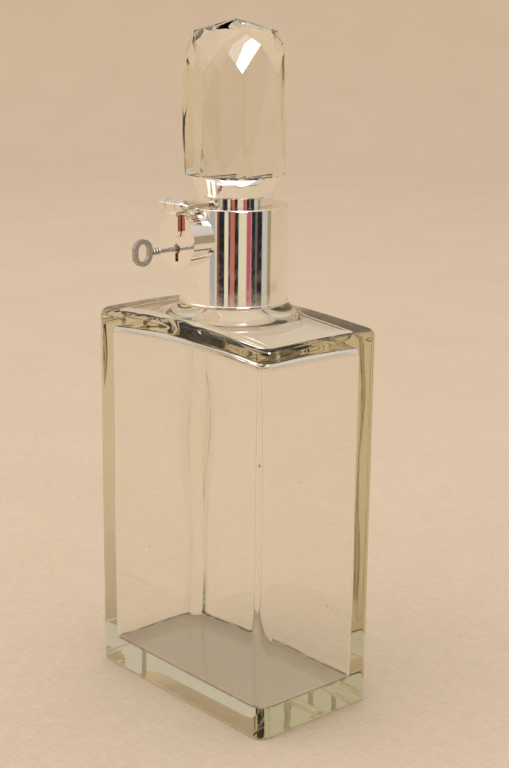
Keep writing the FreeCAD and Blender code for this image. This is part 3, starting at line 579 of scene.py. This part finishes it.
def hang_reflection_card(name, start, end, low, high, colour, strength=1.0, rail=RAIL):
    """A glowing card on the rail, an arc from start to end degrees, counted from the camera to its right; it
    shows only in reflections, as a painted reflection.
    """
    angle = CAMERA_TURN + np.radians(np.linspace(start, end, CARD_STEPS))
    edge = np.stack([rail * np.cos(angle), rail * np.sin(angle)], -1)
    corners = np.concatenate([at_height(edge, low), at_height(edge, high)])
    quads = [(i, i + 1, i + 1 + CARD_STEPS, i + CARD_STEPS) for i in range(CARD_STEPS - 1)]
    mesh = bpy.data.meshes.new(name)
    mesh.from_pydata(corners.tolist(), [], quads)
    mesh.materials.append(reflection_glow(name, colour, strength))
    card = put_in_scene(name, mesh)
    # Hidden from camera, diffuse, transmission, shadow and volume rays: the card is only a painted
    # reflection.
    card.visible_camera = False
    card.visible_diffuse = False
    card.visible_transmission = False
    card.visible_shadow = False
    card.visible_volume_scatter = False


# %% [markdown]
# Fourteen glowing cards hang at the height of the collar and give its stripes as painted reflections.
# Above them a bright softbox card and a dim lavender scrim card put a painted highlight on one kite of
# the stopper's crown, and dark drape cards put a painted dark reflection on the flare of its mount.
# %% Cards for the silver
# Each colour is the glow of a card that only the silver sees: a painted reflection of a room.
RAIL_CARDS = (
    ("grey_cloth_reflection", -52, -40, (0.42, 0.40, 0.36)), ("brown_cloth_reflection", -36, -31, (0.16, 0.07, 0.045)),
    ("dark_coat_reflection", -31, -20, (0.022, 0.018, 0.024)), ("cream_wall_reflection", -20, -13, (0.80, 0.68, 0.45)),
    ("navy_cloth_reflection", -12, -8, (0.04, 0.05, 0.12)), ("orange_cloth_reflection", -8, 1, (0.50, 0.16, 0.09)),
    ("black_coat_reflection", 1, 9, (0.018, 0.018, 0.022)), ("cream_door_reflection", 9, 24, (0.72, 0.64, 0.44)),
    ("rose_cloth_reflection", 26, 35, (0.48, 0.10, 0.13)), ("black_case_reflection", 36, 44, (0.02, 0.02, 0.022)),
    ("grey_case_reflection", 44, 49, (0.16, 0.12, 0.10)), ("black_frame_reflection", 49, 60, (0.02, 0.02, 0.022)),
    ("light_frame_reflection", 60, 71, (0.55, 0.52, 0.46)), ("olive_cloth_reflection", 73, 83, (0.34, 0.28, 0.17)),
)
for name, first, final, colour in RAIL_CARDS:
    hang_reflection_card(name, first, final, -0.05, 0.42, colour)
# A bright card and a lavender one, seen only in the stopper's facets: a painted highlight on one kite.
hang_reflection_card("painted_kite_highlight", 14.8, 34.0, 0.62, 1.25, (1.0, 0.985, 0.96), 24.0, 0.9)
hang_reflection_card("painted_lavender_reflection", 9.0, 14.8, 0.62, 1.25, (0.80, 0.72, 0.86), 5.0, 0.9)
# Dark cards above the rail, seen only in the silver: a painted dark reflection on the mount's flare.
hang_reflection_card("brown_drape_reflection", -26, -12, 0.44, 1.0, (0.23, 0.11, 0.06), 1.0, 0.96)
hang_reflection_card("black_drape_reflection", -12, -5, 0.44, 0.60, (0.02, 0.02, 0.022), 1.0, 0.96)
hang_reflection_card("orange_valance_reflection", -5, 22, 0.44, 0.54, (0.42, 0.19, 0.08), 1.0, 0.96)
print(len(RAIL_CARDS), "cards on the rail and five above it")

# %% [markdown]
# ## Light
# The room is a soft pale sky, brighter overhead. The sky is a gradient on the height of the direction,
# so it needs no image.
# %% Sky
world = bpy.data.worlds.new("studio")
bpy.context.scene.world = world
world.use_nodes = True
sky = world.node_tree
where = sky.nodes.new("ShaderNodeTexCoord")
split = sky.nodes.new("ShaderNodeSeparateXYZ")
blend = sky.nodes.new("ShaderNodeValToRGB")
sky.links.new(where.outputs["Generated"], split.inputs[0])
sky.links.new(split.outputs["Z"], blend.inputs["Fac"])
sky.links.new(blend.outputs["Color"], sky.nodes["Background"].inputs["Color"])
line = blend.color_ramp.elements
line[0].position, line[0].color = 0.0, (0.76, 0.67, 0.545, 1)
line[1].position, line[1].color = 1.0, (1.0, 0.96, 0.90, 1)
line.new(0.35).color = (0.88, 0.80, 0.70, 1)
sky.nodes["Background"].inputs["Strength"].default_value = 0.72
print("sky strength", round(sky.nodes["Background"].inputs["Strength"].default_value, 2))

# %% [markdown]
# Two very large lamps make soft shadows: one like a window at the front left, and one overhead. The
# window is hidden from rays that come through glass, because the thick base would show it as hard
# white patches.
# %% Lamps
def soft_lamp(name, place, aim, size, power, colour):
    """A square lamp at a place, turned to its aim."""
    lamp = bpy.data.lights.new(name, "AREA")
    lamp.shape = "SQUARE"
    lamp.size = size
    lamp.energy = power
    lamp.color = colour
    holder = put_in_scene(name, lamp)
    holder.location = place
    holder.rotation_euler = Vector(np.subtract(aim, place)).to_track_quat("-Z", "Y").to_euler()
    return holder


window_lamp = soft_lamp("window_lamp", (-1.1, -2.3, 1.9), (0, 0, 0.12), 3.4, 21.0, (1.0, 0.96, 0.90))
window_lamp.visible_transmission = False
soft_lamp("top_lamp", (0.1, 0.1, 2.6), (0, 0, 0.1), 2.2, 12.0, (1.0, 0.98, 0.95))

# %% [markdown]
# ## Camera
# The camera looks a little down on the front corner between the long face and the end face. Its axes
# are worked out from its heading and pitch, and then rolled by half a degree.
# %% Camera
DISTANCE = 0.63483
TARGET = np.array([0, 0, 0.1367])

heading, pitch, tilt = math.radians(-49.025), math.radians(14.117), math.radians(0.484)
forward = np.array([math.sin(heading) * math.cos(pitch), math.cos(heading) * math.cos(pitch),
                    -math.sin(pitch)])
level = np.array([math.cos(heading), -math.sin(heading), 0.0])
upright = np.cross(level, forward)
right = level * math.cos(tilt) + upright * math.sin(tilt)
upward = upright * math.cos(tilt) - level * math.sin(tilt)
eye = TARGET - DISTANCE * forward
camera = put_in_scene("camera", bpy.data.cameras.new("camera"))
camera.data.lens = 68.95
camera.data.shift_x = 0.028
placing = np.eye(4)
placing[:3, :] = np.column_stack([right, upward, -forward, eye])
camera.matrix_world = Matrix(placing.tolist())
bpy.context.scene.camera = camera
print("camera at", eye.round(3))

# %% [markdown]
# ## Rendering choices
# Light crosses the glass many times before it leaves, so rays get more bounces than usual. The Standard
# view keeps the pale tones as they are lit.
# %% Bounces and tones
scene = bpy.context.scene
scene.cycles.max_bounces = 40
scene.cycles.transmission_bounces = 36
scene.cycles.glossy_bounces = 12
scene.cycles.transparent_max_bounces = 12
scene.cycles.caustics_reflective = False
scene.cycles.caustics_refractive = True
scene.cycles.blur_glossy = 0.3
scene.cycles.sample_clamp_indirect = 6.0
scene.view_settings.view_transform = "Standard"
print("bounces", scene.cycles.max_bounces)

# %% [markdown]
# The looks must not outgrow the measured model, so both boxes are written down side by side.
# %% Sizes, for comparison
print("scene built")
